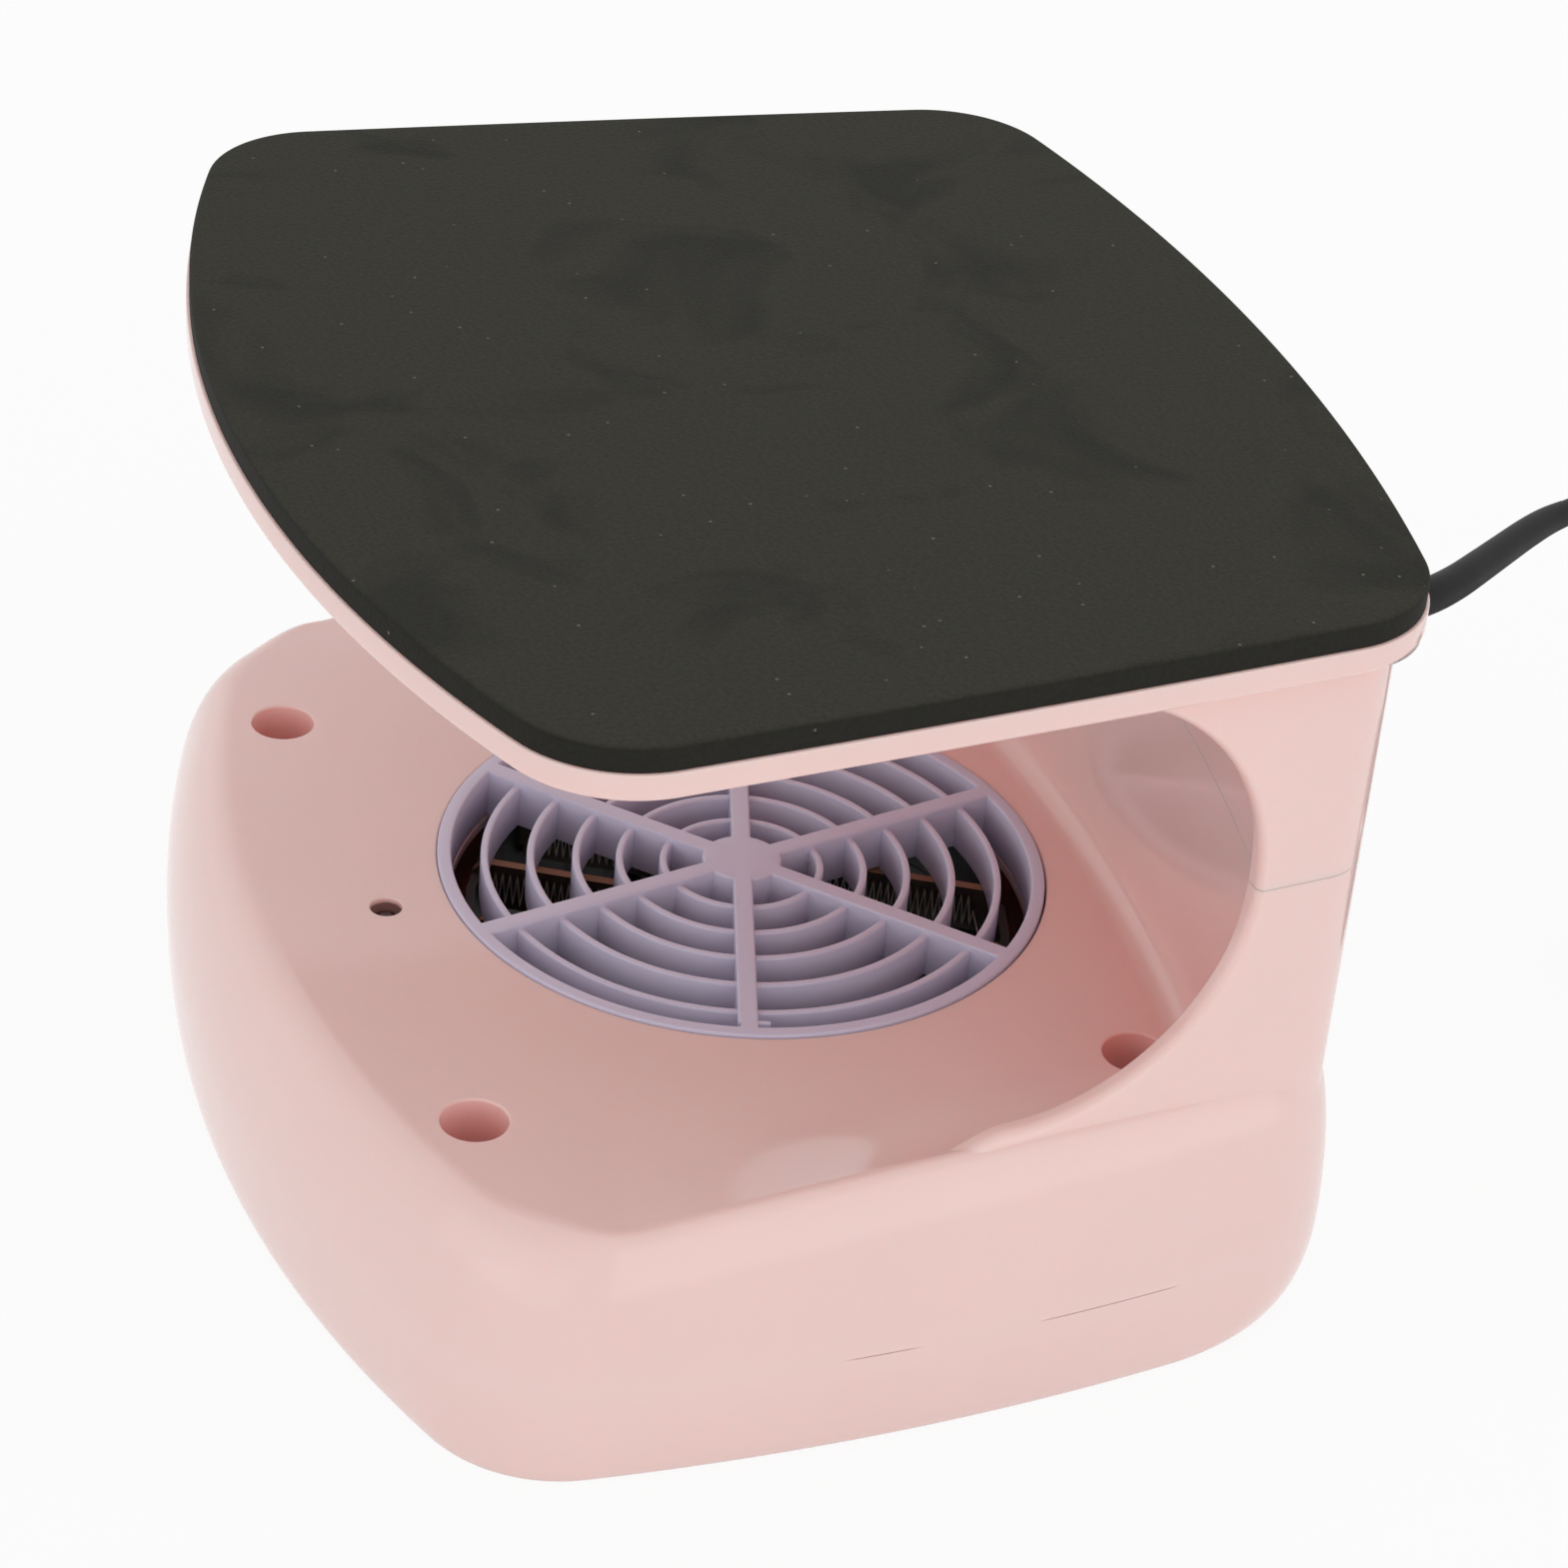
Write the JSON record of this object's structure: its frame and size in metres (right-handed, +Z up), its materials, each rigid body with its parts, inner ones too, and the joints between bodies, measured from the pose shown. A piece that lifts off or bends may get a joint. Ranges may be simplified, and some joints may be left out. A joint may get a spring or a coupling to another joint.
{
  "type": "nail polish fan dryer",
  "caption": "Table-top warm-air nail dryer: fan housing with a round outlet grille, hollow column, and a padded base plate over the open hand space.",
  "frame": {"origin": "middle of the dryer's footprint, without its lead, on the surface that it stands on", "axes": "+Z up, as the picture shows it, out of the foam pad; -Y out of the open mouth towards the user; +X to the right for someone who looks into the mouth"},
  "size_m": [0.1836, 0.3226, 0.1226],
  "materials": {
    "foam_pad": "matte closed-cell foam, black with a warm cast and fine grain",
    "pink_plastic": "moulded ABS, soft pink, satin gloss",
    "lilac_plastic": "moulded ABS, greyed lilac, satin gloss",
    "black_plastic": "black moulded plastic, fine matte",
    "screw_steel": "zinc-plated steel",
    "motor_steel": "plated pressed steel",
    "rotor_plastic": "natural white moulded plastic",
    "mica": "pressed mica board, brown, matte",
    "heating_wire": "resistance wire, dull grey",
    "plated_metal": "nickel-plated metal, smooth",
    "circuit_board": "glass-fibre board with green lacquer",
    "sensor_plastic": "dark translucent plastic, polished",
    "cord_rubber": "black flexible PVC, satin"
  },
  "bodies": {
    "dryer": {"anti_slip_pad": "foam_pad", "base_shell": "pink_plastic", "face_shell": "pink_plastic", "outer_shell": "pink_plastic", "outlet_grille": "lilac_plastic", "intake_grille": "lilac_plastic", "housing_screw_1": "screw_steel", "housing_screw_2": "screw_steel", "housing_screw_3": "screw_steel", "housing_screw_4": "screw_steel", "column_screw_1": "screw_steel", "column_screw_2": "screw_steel", "fan_duct": "black_plastic", "duct_screw_1": "screw_steel", "duct_screw_2": "screw_steel", "duct_screw_3": "screw_steel", "motor_can": "motor_steel", "motor_screw_1": "screw_steel", "motor_screw_2": "screw_steel", "heater_ring": "mica", "heater_strip_1": "mica", "heater_strip_2": "mica", "heater_strip_3": "mica", "heater_wire_1": "heating_wire", "heater_wire_2": "heating_wire", "thermal_cutout": "plated_metal", "thermal_fuse": "plated_metal", "control_board": "circuit_board", "board_screw_1": "screw_steel", "board_screw_2": "screw_steel", "relay": "black_plastic", "capacitor": "black_plastic", "hand_sensor": "sensor_plastic", "switch_body": "black_plastic", "strain_relief": "cord_rubber", "power_cord": "cord_rubber", "cord_coil": "cord_rubber", "plug_body": "cord_rubber", "plug_pin_1": "plated_metal", "plug_pin_2": "plated_metal"},
    "rotor": {"fan_rotor": "rotor_plastic", "motor_shaft": "motor_steel"},
    "rocker": {"power_rocker": "black_plastic"}
  },
  "joints": [
    {"name": "fan_spin", "type": "hinge", "parent": "dryer", "child": "rotor", "pos_m": [0, 0.00422, 0.012], "axis": [0, 0, 1], "continuous": true},
    {"name": "rocker_tilt", "type": "hinge", "parent": "dryer", "child": "rocker", "pos_m": [0, 0.07523, 0.097], "axis": [1, 0, 0], "range_deg": [-18, 0]}
  ]
}
